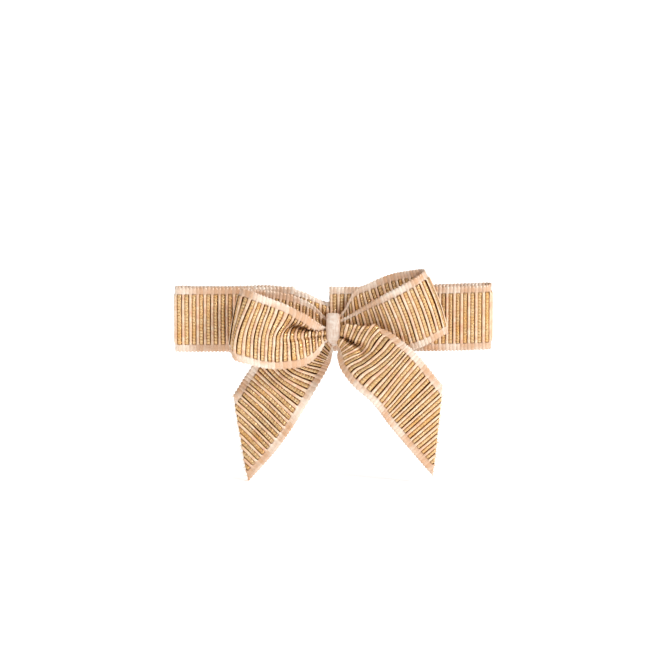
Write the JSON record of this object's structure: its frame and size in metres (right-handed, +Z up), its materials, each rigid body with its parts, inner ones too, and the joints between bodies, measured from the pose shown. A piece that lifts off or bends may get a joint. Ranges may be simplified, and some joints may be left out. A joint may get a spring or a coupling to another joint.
{
  "type": "pre-made gift bow",
  "caption": "Pre-tied ribbed metallic ribbon bow with a satin-wrapped knot on a flat ribbon band, with a peel-off adhesive back for gifts.",
  "frame": {"origin": "on the outer face of the release liner, straight behind the knot", "axes": "the bow faces -Y, +X is to the right as seen from the front, +Z is up; the stick-on face looks along +Y"},
  "size_m": [0.0776, 0.0166, 0.0518],
  "materials": {
    "ribbed_ribbon": "ribbed weave of satin and metallic gold cords",
    "satin_strip": "satin sheen",
    "hot_melt_glue": "waxy",
    "foam_tape": "matte foam",
    "liner_paper": "waxed paper"
  },
  "bodies": {
    "bow_base": {"band_ribbon": "ribbed_ribbon", "bow_centre": "ribbed_ribbon", "knot_wrap": "satin_strip", "bow_glue": "hot_melt_glue", "left_flap_glue": "hot_melt_glue", "right_flap_glue": "hot_melt_glue", "adhesive_pad": "foam_tape"},
    "left_loop": {"left_loop": "ribbed_ribbon"},
    "right_loop": {"right_loop": "ribbed_ribbon"},
    "left_tail": {"left_tail": "ribbed_ribbon"},
    "right_tail": {"right_tail": "ribbed_ribbon"},
    "release_liner": {"release_liner": "liner_paper"}
  },
  "joints": [
    {"name": "left_loop_swivel", "type": "hinge", "parent": "bow_base", "child": "left_loop", "pos_m": [0, -0.00725, 0], "axis": [0, 1, 0], "range_deg": [-10, 10]},
    {"name": "right_loop_swivel", "type": "hinge", "parent": "bow_base", "child": "right_loop", "pos_m": [0, -0.00725, 0], "axis": [0, 1, 0], "range_deg": [-10, 8]},
    {"name": "left_tail_swing", "type": "hinge", "parent": "bow_base", "child": "left_tail", "pos_m": [0, -0.00725, 0], "axis": [0, 1, 0], "range_deg": [-6, 12]},
    {"name": "right_tail_swing", "type": "hinge", "parent": "bow_base", "child": "right_tail", "pos_m": [0, -0.00725, 0], "axis": [0, 1, 0], "range_deg": [-12, 6]},
    {"name": "liner_peel", "type": "hinge", "parent": "bow_base", "child": "release_liner", "pos_m": [-0.00975, -0.0001, 0.0019], "axis": [0, 0, 1], "range_deg": [0, 150]}
  ]
}
